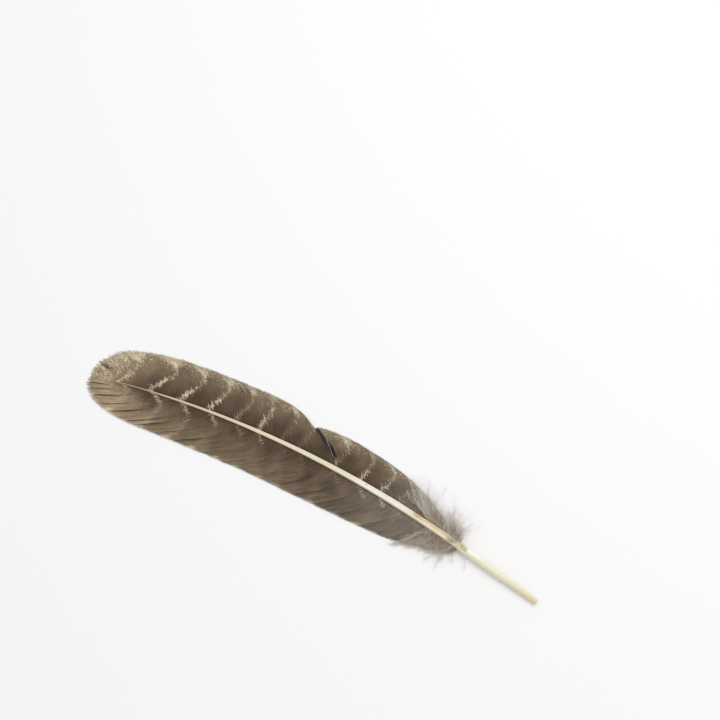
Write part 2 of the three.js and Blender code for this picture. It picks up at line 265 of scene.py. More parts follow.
def barb_curve(ribs, side, station, out):
    """Points of the barbs rooted at the stations, for shares of the way to the margin.

    station has one value for each barb, and out one row of shares for each barb.
    """
    along = (station - BARREL_LENGTH) / RACHIS_LENGTH
    sweep = rib_value(ribs, along, 1)[:, None]
    span = rib_value(ribs, along, 2)[:, None]
    middle, tipward, outward = shaft_line(station)
    root = (shaft_width(station) * ROOT_SETBACK)[:, None]
    inner = 2 * out * (1 - out)
    forward = inner * LEAN_IN * sweep + out ** 2 * sweep
    control = lerp(root, np.maximum(span, root), LEAN_OUT)
    across = (1 - out) ** 2 * root + inner * control + out ** 2 * span
    root_height = (middle[:, 2] - ROOT_DROP * shaft_height(station))[:, None]
    height = lerp(root_height, WEB_THICKNESS / 2, out ** DROOP)
    points = (middle[:, None, :] + tipward[:, None, :] * forward[..., None]
              + outward[:, None, :] * (side * across)[..., None])
    points[..., 2] = height
    return points, forward


# ---- Meshes --------------------

def as_mesh(bm, name):
    mesh = bpy.data.meshes.new(name)
    bm.to_mesh(mesh)
    bm.free()
    return mesh


def strand_template(rings, sides):
    """A closed bar of unit length and width along Y, cut into rings."""
    bm = bmesh.new()
    bmesh.ops.create_cone(bm, cap_ends=True, segments=sides, radius1=0.5, radius2=0.5, depth=1)
    bmesh.ops.rotate(bm, verts=bm.verts, matrix=Matrix.Rotation(-math.pi / 2, 3, "X"))
    bmesh.ops.translate(bm, verts=bm.verts, vec=(0, 0.5, 0))
    long_edges = [e for e in bm.edges if abs(e.verts[0].co.y - e.verts[1].co.y) > 0.5]
    if rings > 1:
        bmesh.ops.subdivide_edges(bm, edges=long_edges, cuts=rings - 1)
    return as_mesh(bm, "strand")


def read_points(mesh):
    points = np.empty(len(mesh.vertices) * 3, np.float32)
    mesh.vertices.foreach_get("co", points)
    return points.reshape(-1, 3).astype(float)


def write_points(mesh, points):
    mesh.vertices.foreach_set("co", np.asarray(points, np.float32).ravel())
    mesh.update()


def write_vectors(mesh, name, values):
    attribute = mesh.attributes.new(name, "FLOAT_VECTOR", "POINT")
    attribute.data.foreach_set("vector", np.asarray(values, np.float32).ravel())


def unit(vectors):
    return vectors / np.maximum(np.linalg.norm(vectors, axis=-1, keepdims=True), 1e-9)


def strands(name, lines, widths, depths, rolls, place, growth, sides=4):
    """One mesh of closed strands along lines of points in millimetres.

    lines is barbs x rings x 3; widths and depths are barbs x rings; rolls is one angle for each.
    place and growth, barbs x rings x 3, become attributes for the materials.
    """
    count, rows = lines.shape[:2]
    template = strand_template(rows - 1, sides)
    unit_points = read_points(template)
    bm = bmesh.new()
    for _ in range(count):
        bm.from_mesh(template)
    mesh = as_mesh(bm, name)
    bpy.data.meshes.remove(template)

    ring = np.rint(unit_points[:, 1] * (rows - 1)).astype(int)
    tangent = unit(np.gradient(lines, axis=1))
    flat = unit(np.cross(tangent, (0, 0, 1)))
    up = np.cross(flat, tangent)
    cosine, sine = np.cos(rolls)[:, None, None], np.sin(rolls)[:, None, None]
    flat, up = flat * cosine + up * sine, up * cosine - flat * sine
    offset_flat = unit_points[:, 0][None, :, None] * widths[:, ring, None]
    offset_up = unit_points[:, 2][None, :, None] * depths[:, ring, None]
    points = lines[:, ring] + flat[:, ring] * offset_flat + up[:, ring] * offset_up
    write_points(mesh, points.reshape(-1, 3) * MM)
    write_vectors(mesh, "place", place[:, ring].reshape(-1, 3))
    write_vectors(mesh, "growth", growth[:, ring].reshape(-1, 3))
    return mesh


def add_piece(name, mesh, material, body=None):
    mesh.shade_smooth()
    mesh.materials.append(material)
    piece = bpy.data.objects.new(name, mesh)
    bpy.context.scene.collection.objects.link(piece)
    if body:
        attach(piece, body)
    return piece


# ---- Materials --------------------

class Signal:
    """A shader value that can be added, subtracted, multiplied and stepped."""

    def __init__(self, wires, socket):
        self.wires = wires
        self.socket = socket

    def __add__(self, other):
        return self.wires.math("ADD", self, other)

    def __sub__(self, other):
        return self.wires.math("SUBTRACT", self, other)

    def __rsub__(self, other):
        return self.wires.math("SUBTRACT", other, self)

    def __mul__(self, other):
        return self.wires.math("MULTIPLY", self, other)

    def __pow__(self, power):
        return self.wires.math("POWER", self, power)

    def __abs__(self):
        return self.wires.math("ABSOLUTE", self)

    def step(self, low, high):
        """0 below low and 1 above high, with a smooth turn between them."""
        made = self.wires.node("ShaderNodeMapRange", Value=self, From_Min=low, From_Max=high)
        made.interpolation_type = "SMOOTHSTEP"
        return Signal(self.wires, made.outputs["Result"])

    def bell(self, centre, reach):
        """1 at the centre, falling to 0 a reach away on both sides."""
        return 1 - abs(self - centre).step(0, reach)


class Wires:
    """Makes and joins the nodes of one material."""

    def __init__(self, name):
        self.material = bpy.data.materials.new(name)
        self.material.use_nodes = True
        self.tree = self.material.node_tree
        self.shader = self.tree.nodes["Principled BSDF"]

    def put(self, socket, value):
        if isinstance(value, Signal):
            self.tree.links.new(value.socket, socket)
        elif socket.type == "RGBA":
            socket.default_value = (*value, 1)
        else:
            socket.default_value = value

    def node(self, kind, **inputs):
        made = self.tree.nodes.new(kind)
        for key, value in inputs.items():
            self.put(made.inputs[key.replace("_", " ")], value)
        return made

    def math(self, operation, *values):
        made = self.tree.nodes.new("ShaderNodeMath")
        made.operation = operation
        for socket, value in zip(made.inputs, values):
            self.put(socket, value)
        return Signal(self, made.outputs[0])

    def most(self, a, b):
        return self.math("MAXIMUM", a, b)

    def attribute(self, name):
        """The three parts of a vector attribute."""
        read = self.tree.nodes.new("ShaderNodeAttribute")
        read.attribute_name = name
        parts = self.node("ShaderNodeSeparateXYZ", Vector=Signal(self, read.outputs["Vector"]))
        return [Signal(self, parts.outputs[axis]) for axis in "XYZ"]

    def join(self, x, y, z):
        return Signal(self, self.node("ShaderNodeCombineXYZ", X=x, Y=y, Z=z).outputs[0])

    def noise(self, vector, scale=1.0, detail=2.0, roughness=0.5):
        made = self.node("ShaderNodeTexNoise", Vector=vector, Scale=scale, Detail=detail,
                         Roughness=roughness)
        return Signal(self, made.outputs["Fac"])

    def mix(self, amount, a, b):
        made = self.tree.nodes.new("ShaderNodeMix")
        made.data_type = "RGBA"
        self.put(made.inputs["Factor"], amount)
        self.put(made.inputs["A"], a)
        self.put(made.inputs["B"], b)
        return Signal(self, made.outputs["Result"])

    def layered(self, colour, *layers):
        """The colour with layers of (amount, colour) over it."""
        for amount, layer in layers:
            colour = self.mix(amount, colour, layer)
        return colour

    def shaded(self, colour, shade):
        """The colour made darker or lighter by a grey factor."""
        made = self.tree.nodes.new("ShaderNodeVectorMath")
        made.operation = "SCALE"
        self.put(made.inputs[0], colour)
        self.put(made.inputs["Scale"], shade)
        return Signal(self, made.outputs[0])

    def ramp(self, value, stops):
        """Grey ramp through (position, level) stops."""
        made = self.node("ShaderNodeValToRGB", Fac=value)
        points = made.color_ramp.elements
        while len(points) < len(stops):
            points.new(1)
        for point, (position, level) in zip(points, stops):
            point.position = position
            point.color = (level, level, level, 1)
        return Signal(self, made.outputs["Color"])

    def bump(self, height, distance, strength=1.0):
        made = self.node("ShaderNodeBump", Height=height, Distance=distance, Strength=strength)
        return Signal(self, made.outputs["Normal"])

    def finish(self, colour, roughness, **settings):
        """The material, with its colour, roughness and other shader settings in place."""
        settings = {"Base Color": colour, "Roughness": roughness, **settings}
        for key, value in settings.items():
            self.put(self.shader.inputs[key.replace("_", " ")], value)
        return self.material


def bar_stops():
    """Ramp stops that peak at each bar's station and fall to 0 midway between bars."""
    places = [station / PATTERN_LENGTH for station, _ in BARS]
    stops = []
    for here, after in zip(places, places[1:]):
        stops += [(here, 1), ((here + after) / 2, 0)]
    return [(0.23, 0), *stops, (places[-1], 1), (0.92, 0)]


def web_material(name, settings, is_outer):
    """Barbs with pale bars, mottled margins, a warm tip, painted light at the thin margins and
    painted shade and highlight at the creases.

    place holds the point's station in millimetres, its share of the way to the margin and the
    barb's own random number. growth holds the barb's root station and the distance along it, in
    millimetres, and its painted crease shade and highlight.
    """
    wires = Wires(name)
    station, out, barb = wires.attribute("place")
    root, distance, crease_shade_and_shine = wires.attribute("growth")

    def texture(across, along, seed):
        """Noise with its own scales across and along the barbs, from about -0.25 to 0.25."""
        return wires.noise(wires.join(root * across, distance * along, seed), detail=1.0) - 0.5

    streak = texture(2.2, 0.12, 0.0)
    broad = texture(0.35, 0.03, 11.0)
    tuft = texture(0.8, 0.1, 7.0)
    fleck = texture(1.15, 0.75, 3.0)
    cloud = wires.noise(wires.join(station * 0.09, out * 1.6, 5.0)) - 0.5

    # The bars bow toward the base across the web and come back at the margin.
    near_tip = station.step(182, 255)
    if is_outer:
        bow = out.step(0, 0.66) * (near_tip * 9.5 + 2.5)
        swing = out ** 3.5 * (near_tip * -5 - 7)
    else:
        bow = out.step(-0.12, 0.3) * (near_tip * 2 + 8)
        swing = out ** 2.5 * (near_tip * 4 - 11)
    jitter = tuft * 5 + (barb - 0.5) * 1.6
    pattern = (station + jitter + (bow + swing)) * (1 / PATTERN_LENGTH)
    closeness = wires.ramp(pattern, bar_stops()) + (streak * 0.7 + fleck * 0.7)
    clear = wires.ramp(pattern, [(station / PATTERN_LENGTH, level) for station, level in BARS])
    at_tip = (station + out * 14).step(270, 294)

    if is_outer:
        # Bars widen and break up at the margin, and flecks lie between them there.
        outermost = out.step(0.66, 0.96)
        narrow = out.step(0.2, 0.5) * -0.09
        spread = outermost * (near_tip * 0.28 + 0.32)
        bars = (closeness + (narrow + spread + 0.2)).step(0.96, 1.22)
        rise = out.step(0.36, 0.68)
        weak = out.bell(0.52, 0.3) * (near_tip * 0.1 + 0.12)
        patchy = (broad + cloud * 0.8).step(-0.25, 0.1)
        holes = fleck.step(0.02, -0.07) * (outermost * 0.75)
        bars = bars * (clear * (1 - rise) + rise * 0.9) * (0.92 - weak)
        bars = bars * (patchy * 0.4 + 0.6) * (1 - holes)
        flecks = fleck + cloud * 0.2 + outermost * (near_tip * 0.05 + 0.07)
        flecks = (flecks + at_tip * 0.08).step(0.12, 0.2)
        near_end = at_tip * (out.step(0.08, 0.5) * 0.7 + 0.3)
        flecks = flecks * wires.most(out.step(0.5, 0.8), near_end) * 0.75
    else:
        # Bars show as marks beside the rachis, faint arcs toward the tip and ends at the margin.
        ends = out.step(0.86, 0.96) * 0.95
        marks = (1 - out.step(0.12, 0.24)) * 0.26 * clear * 1.6
        arcs = station.step(205, 240) * 0.19 + 0.03
        bars = (closeness + ends * 0.15).step(0.76, 1.04) * (marks + arcs + ends)
        flecks = (fleck + at_tip * 0.06).step(0.11, 0.22)
        flecks = flecks * (station.step(225, 275) * out.step(0, 0.5)) * 0.4
    pale = wires.most(bars, flecks)

    # Ground: dark by the rachis, lighter outward, grey at the base, warm at the tip, and painted
    # light at the rim and the edge, where light would come through the thin barb ends.
    begin, end = (0.04, 1.05) if is_outer else (-0.1, 0.95)
    outside = (out + cloud * 0.7).step(begin, end)
    reach, begin = (18, 254) if is_outer else (46, 263)
    warm = (station + out * reach).step(begin, begin + 63)
    # Painted light: the rim is lightened where light would come through the thin barb ends.
    lit_through_rim = out.step(0.72, 1) * (near_tip * 0.35 + 0.4)
    fade = 1 - station.step(68, 122 if is_outer else 158)
    # Painted light: the edge near the tip is paler where light would come through the thin barb
    # ends.
    lit_through_edge = out.step(0.88, 1) * station.step(225, 285)
    dyed = wires.layered(settings.ground, (outside, settings.outside),
                         (wires.most(warm, lit_through_rim), settings.tip), (fade * 0.85, settings.grey),
                         (lit_through_edge * 0.6, settings.bar), (pale, settings.bar))

    # Tone: streaks along the barbs, a dusky middle, a lighter foot and the painted crease shade
    # and highlight.
    tone = streak * 0.8 + cloud * 0.35 + 1
    tone = tone + broad * out * (0.4 if is_outer else 1.2) + tuft * (0.15 if is_outer else 0.5)
    dusk = station.bell(128 if is_outer else 138, 42) * out.step(0.05, 0.5)
    tone = tone - dusk * (0.14 if is_outer else 0.21)
    by_rachis = (1 - out.step(0.05, 0.25)) * fade
    # Painted crease shade and highlight darken and lighten the tone here.
    shade = (tone + by_rachis * 0.16) * (1 - crease_shade_and_shine * 0.74)
    dyed = wires.shaded(dyed, shade)
    return wires.finish(dyed, streak * 0.4 + 0.62, Specular_IOR_Level=0.14)


def horn_material(name, settings):
    """Horn that runs from the translucent barrel to the opaque rachis, with tan marks between, a
    painted highlight on the barrel and painted shade at its sides, slits and groove.

    place holds the station in millimetres, then the places across and in height from -1 to 1.
    """
    wires = Wires(name)
    station, across, height = wires.attribute("place")
    grain = wires.noise(wires.join(station * 0.1, across * 5, height * 3), 1.0, 4.0, 0.6)
    blotch = wires.noise(wires.join(station * 0.2, across * 1.5, 3.0), 1.0, 3.0) - 0.5

    def stretch(start, end, soft):
        """1 between two stations, 0 outside them."""
        return station.step(start, start + soft) * (1 - station.step(end - soft, end))

    def tinted(colour, red, green, blue):
        return tuple(c * f for c, f in zip(colour, (red, green, blue)))

    white = (0.86, 0.85, 0.79)
    brown = tinted(settings.cortex, 0.42, 0.38, 0.33)
    orange = tinted(settings.stain_and_edge_shade, 0.82, 0.68, 0.5)
    light = tuple(min(1, c * 1.2) for c in settings.cortex)
    # Mask for the painted highlight along one side of the barrel.
    painted_highlight_side = (across + blotch * 0.8).step(-0.3, 0.2)
    outer_half = (across + blotch * 1.8).step(-0.25, 0.1)
    # Painted shade: the horn is darker toward its sides, more on the rachis than on the barrel.
    edges = abs(across) ** 3 * (station.step(45, 60) * 0.35 + 0.1)
    tan = stretch(56, 85, 5) * outer_half * 0.6
    end = 1 - station.step(2, 26)
    tan_start = stretch(77, 84.5, 2) * outer_half * 0.8
    junction = stretch(46, 58, 4) * (blotch + across * 0.3).step(-0.2, 0.1)
    spot = stretch(113.6, 116.4, 1.2) * across.bell(0.25, 0.3)
    # Painted shade: two thin dark lines in the slits at the junction of barrel and rachis.
    slit_shade = wires.most(across.bell(0.5, 0.26), across.bell(-0.2, 0.26)) * stretch(46, 52.5, 2.5)
    # Painted shade: a faint brown line along the middle of the groove.
    groove_shade = across.bell(0, 0.16) * station.step(60, 90)
    dyed = wires.layered(
        settings.barrel,
        (station.step(47, 60), settings.cortex),
        (station.step(165, 245), tinted(settings.cortex, 0.75, 0.72, 0.66)),
        (stretch(80, 130, 14) * 0.6, white),
        # Painted highlight: white along one side of the barrel between stations 35 and 50.
        (stretch(35, 50, 7) * painted_highlight_side, white),
        (station.step(240, 268) * 0.95, brown),
        # Painted shade at the horn's sides, in the tan also used for the real stains.
        (edges, settings.stain_and_edge_shade),
        (wires.most(tan, end * 0.45), settings.stain_and_edge_shade),
        (wires.most(tan_start, junction) * 0.75, orange),
        (spot * 0.6, orange),
        (slit_shade * 0.8, tinted(brown, 0.5, 0.5, 0.5)),
        (groove_shade * 0.12, brown),
        (grain.step(0.45, 0.75) * 0.35, light))
    normal = wires.bump(grain, 0.00004, 0.5)
    return wires.finish(dyed, 0.38, Normal=normal, Subsurface_Weight=0.12, Subsurface_Scale=0.0015,
                        Specular_IOR_Level=0.45)


def down_material(name, dark, light):
    """Soft fluff, darker at its roots and pale at its ends, with a few barbs pale all along."""
    wires = Wires(name)
    _, out, barb = wires.attribute("place")
    amount = wires.most((out + (barb - 0.5) * 0.6).step(0.1, 0.95), barb.step(0.74, 0.78))
    return wires.finish(wires.mix(amount, dark, light), 0.85, Specular_IOR_Level=0.2)


def dry_material(name, base, dark, scale):
    """Dry tissue: blotches of two tones and a fine bump."""
    wires = Wires(name)
    place = Signal(wires, wires.node("ShaderNodeTexCoord").outputs["Object"])
    blotch = wires.noise(place, scale, 4.0, 0.65)
    dyed = wires.mix(blotch.step(0.35, 0.65), base, dark)
    return wires.finish(dyed, 0.75, Normal=wires.bump(blotch, 0.0001))


# ---- Shaft --------------------

def shaft_mesh(name, start, end, rings, sides, groove, ridges):
    """A closed bar along the shaft line, its groove on top and fine lines along its sides."""
    template = strand_template(rings, sides)
    points = read_points(template)
    station = lerp(start, end, points[:, 1])
    angle = np.arctan2(points[:, 2], points[:, 0])
    half_width, half_height = shaft_width(station) / 2, shaft_height(station) / 2
    is_rachis = smooth(station, BARREL_LENGTH - 4, BARREL_LENGTH + GROOVE_RUN_IN)
    power = lerp(1, RACHIS_SQUARENESS, is_rachis)
    cosine, sine = np.cos(angle), np.sin(angle)
    side = np.sign(cosine) * np.abs(cosine) ** power
    top = np.sign(sine) * np.abs(sine) ** power
    lines = ridges * np.sin(angle * 23 + station * 0.05) * is_rachis
    swell = 1 + 0.012 * np.sin(station * 0.21) + 0.008 * np.sin(station * 0.53 + 1)
    across = side * (half_width * swell + lines * half_width / 2)
    dip = np.exp(-((side / GROOVE_WIDTH_SHARE) ** 2)) * (sine > 0)
    cut = groove * 2 * half_height * is_rachis * dip
    up = top * half_height * swell - cut
    middle, _, outward = shaft_line(station)
    placed = middle + outward * across[:, None]
    placed[:, 2] += up
    write_points(template, placed * MM)
    write_vectors(template, "place", np.stack((station, side, top), -1))
    template.name = name
    return template


def hollow_end(mesh):
    """Opens the flat end of the barrel: draws a rim in its face and pushes the inside back."""
    cuts = 4
    deeper = Vector(shaft_line(0)[1] * BARREL_HOLLOW / cuts * MM)
    bm = bmesh.new()
    bm.from_mesh(mesh)
    end = max((f for f in bm.faces if len(f.verts) > 4), key=lambda f: f.calc_center_median().x)
    wall = (BARREL_END_WIDTH - BARREL_END_BORE) / 2 * MM
    bmesh.ops.inset_region(bm, faces=[end], thickness=wall, use_even_offset=True)
    for _ in range(cuts):
        end = bmesh.ops.extrude_discrete_faces(bm, faces=[end])["faces"][0]
        bmesh.ops.translate(bm, verts=end.verts, vec=deeper)
    bm.to_mesh(mesh)
    bm.free()


# Slots of the pieces inside the shaft, the two tones of each and how fine its blotches are.
INNER_FINISHES = (("pith", (240, 237, 226), (222, 216, 198), 900),
                  ("membrane", (214, 200, 160), (170, 146, 98), 700),
                  ("plug", (170, 124, 76), (112, 76, 46), 900))


class FEATHER_OT_shaft(bpy.types.Operator):
    """Builds the barrel and the rachis and finishes the pieces inside them"""

    bl_idname = "feather.shaft"
    bl_label = "Barrel and Rachis"

    def execute(self, context):
        settings = context.scene.feather_shaft
        horn = horn_material("feather_horn", settings)
        barrel = shaft_mesh("barrel_horn", 0, BARREL_LENGTH + 0.1, 60, 32, settings.groove, 0)
        hollow_end(barrel)
        piece = add_piece("barrel_horn", barrel, horn, "shaft")
        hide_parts("quill_barrel")
        rachis = shaft_mesh("rachis_horn", BARREL_LENGTH - 0.4, SHAFT_LENGTH, 190, 48,
                            settings.groove, settings.ridges)
        piece = add_piece("rachis_horn", rachis, horn, "shaft")
        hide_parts("rachis_shell")
        finishes = {slot: dry_material(f"feather_{slot}", linear(*base), linear(*dark), scale)
                    for slot, base, dark, scale in INNER_FINISHES}
        for row in frame["record"]["subparts"]:
            if row["material_slot"] in finishes:
                mesh = frame["nodes"][row["node"]].data
                mesh.materials.clear()
                mesh.materials.append(finishes[row["material_slot"]])
        return {"FINISHED"}


# ---- Webs --------------------

ALONG_BARB = np.linspace(0, 1, 11)
TIP_BARBS = 11
TIP_BARB_LENGTH = 21
TIP_SETBACK = 1.5
SPLIT_BARBS = 6


def fold_places(station, folds):
    """Each barb's group between folds, its place in it from 0 at the base to 1, and its crease,
    which sets its lap and its painted shade and highlight.
    """
    rows = [(BARREL_LENGTH, 0), *folds, (SHAFT_LENGTH + 1, 0)]
    ends, depths = np.array(rows).T
    group = np.clip(np.searchsorted(ends, station, side="right") - 1, 0, len(ends) - 2)
    inside = (station - ends[group]) / (ends[group + 1] - ends[group])
    return inside, depths[group], depths[group + 1]


def web_barbs(settings, ribs, side, start, end, rng, folds, height):
    """Lines, sizes and attributes of the barbs rooted between two stations.

    height is how far, in millimetres, a group of barbs rises over the next.
    """
    count = max(4, round((end - start) / (settings.pitch / MM)))
    station = start + (np.arange(count) + 0.5) * (end - start) / count
    out = ALONG_BARB[None, :].repeat(count, 0)
    inside, base_depth, tip_depth = fold_places(station, folds)
    sharp = smooth(station, 185, 200)

    # Uneven ends: barbs fall short of the margin by chance, and more so at the tip and the base.
    frayed = 0.014 + 0.045 * smooth(station, 235, 279) + 0.08 * (1 - smooth(station, 62, 88))
    wave = 0.006 * np.sin(station * 0.35) + 0.004 * np.sin(station * 0.9 + 2)
    reach = 1 - frayed * rng.random(count) ** 2 * 2 + wave
    reach -= 0.012 * tip_depth * sharp * smooth(inside, 0.7, 1)
    reach -= 0.2 * (1 - smooth(station, 53, 80))
    out = out * reach[:, None]
    lines, forward = barb_curve(ribs, side, station, out)

    # The room that each barb has beside its neighbours, which sets its width.
    tangent = unit(np.gradient(lines, axis=1))
    room = np.gradient(lines, axis=0)
    room = np.linalg.norm(room - (room * tangent).sum(-1, keepdims=True) * tangent, axis=-1)

    # A group lies over the next one toward the base and is tucked under the one toward the tip.
    hump = np.cos(math.pi * (inside - 0.5))
    depth = np.where(inside < 0.5, base_depth, tip_depth)
    lap = lerp(hump, 1 - inside, sharp) * height * (0.25 + depth)
    swell = 0.4 * out + 0.6 * np.sin(math.pi * np.clip(out, 0, 1) ** 1.3)
    swell = lerp(swell, 0.6 * smooth(out, 0.35, 0.8), sharp[:, None])
    lines[..., 2] += lap[:, None] * swell + rng.normal(0, 0.02, count)[:, None] * out
    lines[..., 2] = np.maximum(lines[..., 2], 0.2)

    taper = 1 - 0.7 * np.clip(out, 0, 1) ** 8
    widths = np.clip(room, 0.1, 1.6) * settings.overlap * taper
    depths = (settings.depth / MM) * (1 - 0.55 * out)
    rolls = np.full(count, math.radians(5) * side) + rng.normal(0, math.radians(2.5), count)

    # Painted crease shade and highlight: a painted shadow where a group goes under the next, a
    # painted highlight where it comes out on top.
    width_of_line = lerp(0.55, 0.26, sharp)
    shadow = tip_depth * smooth(inside, 1 - width_of_line, 1)
    shine = base_depth * smooth(1 - inside, 1 - width_of_line, 1)
    begin = lerp(0.25, 0.46, sharp)[:, None]
    crease_shade_and_shine = (shadow - 0.25 * shine)[:, None] * smooth(out - begin, 0, 0.28)
    crease_shade_and_shine *= 1 - 0.75 * smooth(out, 0.82, 1) * sharp[:, None]
    # The barbs on both sides of the split turn down into it, and painted shade darkens them there.
    if ribs is OUTER_TIP_RIBS:
        crease_shade_and_shine += (1 - smooth(station, 137, 143))[:, None] * smooth(out, 0.45, 0.7) * 0.8
        crease_shade_and_shine += (1 - smooth(station, 138, 154))[:, None] * smooth(out, 0.05, 0.3) * 0.45
    if ribs is OUTER_BASE_RIBS:
        # Painted shadow: a dark lens on the tipmost barbs of the base part, where the split lies
        # in shade.
        lens = smooth(out, 0.12, 0.35) * (1 - smooth(out, 0.45, 0.68))
        crease_shade_and_shine += smooth(station, 133, 135.5)[:, None] * lens * 1.45
    one = np.ones_like(out)
    steps = np.diff(lines, axis=1, prepend=lines[:, :1])
    length = np.cumsum(np.linalg.norm(steps, axis=-1), axis=1)
    place = np.stack((station[:, None] + forward, out, rng.random(count)[:, None] * one), -1)
    growth = np.stack((station[:, None] * one, length, crease_shade_and_shine), -1)
    return lines, widths, depths, rolls, place, growth


def blend_run(piece, side, start, end, run):
    """Bakes the piece's transform into its mesh; it works out a point just outside the roots but
    bends nothing.
    """
    middle, _, outward = shaft_line((start + end) / 2)
    root = middle + outward * side * float(shaft_width((start + end) / 2)) * 0.5
    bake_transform(piece)


def build_runs(settings, side_name, side, run_ends, folds, height, material, seed):
    """The runs of barbs of one web, one piece for each run."""
    rng = np.random.default_rng(seed)
    for run in range(1, len(run_ends)):
        start, end = station_at(run_ends[run - 1]), station_at(run_ends[run])
        ribs = INNER_RIBS
        if side > 0:
            ribs = OUTER_BASE_RIBS if run_ends[run] <= SPLIT_SHARE else OUTER_TIP_RIBS
        name = f"{side_name}_barbs_{run}"
        mesh = strands(name, *web_barbs(settings, ribs, side, start, end, rng, folds, height))
        piece = add_piece(name, mesh, material)
        blend_run(piece, side, start, end, f"{side_name}_run_{run}")
        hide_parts(f"{side_name}_vane_{run}")


def build_base(settings, side_name, side, ribs, folds, material, seed):
    """The sparse barbs under the down, between the barrel and the first run."""
    rng = np.random.default_rng(seed)
    start, end = BARREL_LENGTH + 2.5, station_at(OUTER_RUN_ENDS[0]) - 0.2
    lines, *sizes, place, growth = web_barbs(settings, ribs, side, start, end, rng, folds, 0.2)
    lines[..., 2] -= 0.15 * place[..., 1]
    mesh = strands(f"{side_name}_base_barbs", lines, *sizes, place, growth)
    add_piece(f"{side_name}_base_barbs", mesh, material, "shaft")


def build_web(context, side_name, side, ribs, run_ends, folds, height, seed):
    settings = context.scene.feather_web
    material = web_material(f"feather_{side_name}_web", settings, side > 0)
    build_runs(settings, side_name, side, run_ends, folds, height, material, seed)
    build_base(settings, side_name, side, ribs, folds, material, seed + 1)


class FEATHER_OT_outer_web(bpy.types.Operator):
    """Builds the outer web: smooth barbs with clear bars and a mottled margin"""

    bl_idname = "feather.outer_web"
    bl_label = "Outer Web"

    def execute(self, context):
        build_web(context, "outer", 1, OUTER_BASE_RIBS, OUTER_RUN_ENDS, OUTER_FOLDS, 0.35, 11)
        return {"FINISHED"}


class FEATHER_OT_inner_web(bpy.types.Operator):
    """Builds the inner web: barbs in overlapping folds with faint bars"""

    bl_idname = "feather.inner_web"
    bl_label = "Inner Web"

    def execute(self, context):
        build_web(context, "inner", -1, INNER_RIBS, INNER_RUN_ENDS, INNER_FOLDS, 0.8, 23)
        return {"FINISHED"}


def build_tip_barbs(settings):
    """The barbs at the very tip, which carry straight on from the rachis."""
    rows = ALONG_BARB
    rng = np.random.default_rng(31)
    station = SHAFT_LENGTH - TIP_SETBACK
    fan = np.linspace(-1, 1, TIP_BARBS)[:, None]
    middle, tipward, outward = shaft_line(station)
    uneven = 1 - 0.05 * np.abs(fan) - 0.04 * rng.random((TIP_BARBS, 1))
    forward = TIP_BARB_LENGTH * rows * uneven
    across = lerp(0.12 * fan, lerp(-1.5, 2.2, (fan + 1) / 2), rows ** 1.2)
    lines = middle + tipward * forward[..., None] + outward * across[..., None]
    lines[..., 2] = lerp(middle[2] - 0.1, 0.3, np.broadcast_to(rows ** DROOP, forward.shape))
    one = np.ones_like(forward)
    place = np.stack((station + forward, one * rows, one * rng.random((TIP_BARBS, 1))), -1)
    growth = np.stack((SHAFT_LENGTH + fan * 2 * one, forward, one * 0), -1)
    widths = (0.16 + 0.42 * rows) * (1 - 0.6 * rows ** 8) * one
    mesh = strands("tip_barbs", lines, widths, 0.12 * one, np.zeros(TIP_BARBS), place, growth)
    add_piece("tip_barbs", mesh, web_material("feather_tip_barbs", settings, True),
              "shaft")


def build_split_barbs(settings):
    """The barbs that hang in the split, between its two edges, painted dark as the shadow in the
    split.
    """
    rows = ALONG_BARB
    split = np.array([station_at(SPLIT_SHARE)])
    near, forward = barb_curve(OUTER_BASE_RIBS, 1, split, rows[None, :] * 0.97)
    far, _ = barb_curve(OUTER_TIP_RIBS, 1, split, rows[None, :] * 0.97)
    lines = lerp(near, far, np.linspace(0.1, 0.75, SPLIT_BARBS)[:, None, None])
    lines[..., 2] = np.maximum(lines[..., 2] - 0.25 * rows, 0.15)
    one = np.ones(lines.shape[:2])
    widths = 0.5 * one * (0.3 + 0.7 * rows)
    place = np.stack((split + forward[0] * one, rows * one, one * 0.5), -1)
    # Painted shade: the crease value 1.1 darkens these barbs as the shadow in the split.
    growth = np.stack((split * one, rows * 28 * one, one * 1.1), -1)
    mesh = strands("split_barbs", lines, widths, 0.1 * one, np.zeros(SPLIT_BARBS), place, growth)
    material = web_material("feather_split_barbs", settings, False)
    piece = add_piece("split_barbs", mesh, material)
    blend_run(piece, 1, *(split + (-20, 0)), "outer_run_2")


def build_loose_barb(name, run, ribs, station, stretch, shift, lift, material):
    """One pale barb that has come loose: part of a barb's curve, moved tipward and up."""
    rows = ALONG_BARB[None, :]
    lines, _ = barb_curve(ribs, 1, np.array([station]), lerp(*stretch, rows))
    lines[..., 2] += lift
    lines += shaft_line(station)[1] * shift
    thin = 0.22 * (1 - 0.5 * rows ** 4)
    nothing = np.zeros_like(lines)
    mesh = strands(name, lines, thin, thin, np.zeros(1), nothing, nothing)
    add_piece(name, mesh, material, run)


class FEATHER_OT_stray_barbs(bpy.types.Operator):
    """Builds the barbs at the very tip, the ones in the split, painted dark as its shadow, and two
    loose pale ones
    """

    bl_idname = "feather.stray_barbs"
    bl_label = "Tip and Stray Barbs"

    def execute(self, context):
        settings = context.scene.feather_web
        build_tip_barbs(settings)
        build_split_barbs(settings)
        pale = dry_material("feather_pale_barb", linear(214, 207, 202), linear(178, 167, 158), 900)
        build_loose_barb("split_loose_barb", "outer_run_2", OUTER_BASE_RIBS,
                         station_at(SPLIT_SHARE), (0.22, 0.66), 0.15, 0.3, pale)
        build_loose_barb("margin_loose_barb", "outer_run_4", OUTER_TIP_RIBS, 187.0, (0.7, 0.99),
                         0, 1.0, pale)
        return {"FINISHED"}


# ---- Down --------------------

ALONG_DOWN = np.linspace(0, 1, 9)


def sprays(roots, direction, lengths, along):
    """Straight lines of points from the roots, each with its own direction and length."""
    return roots[:, None, :] + direction[:, None, :] * (lengths[:, None] * along)[..., None]


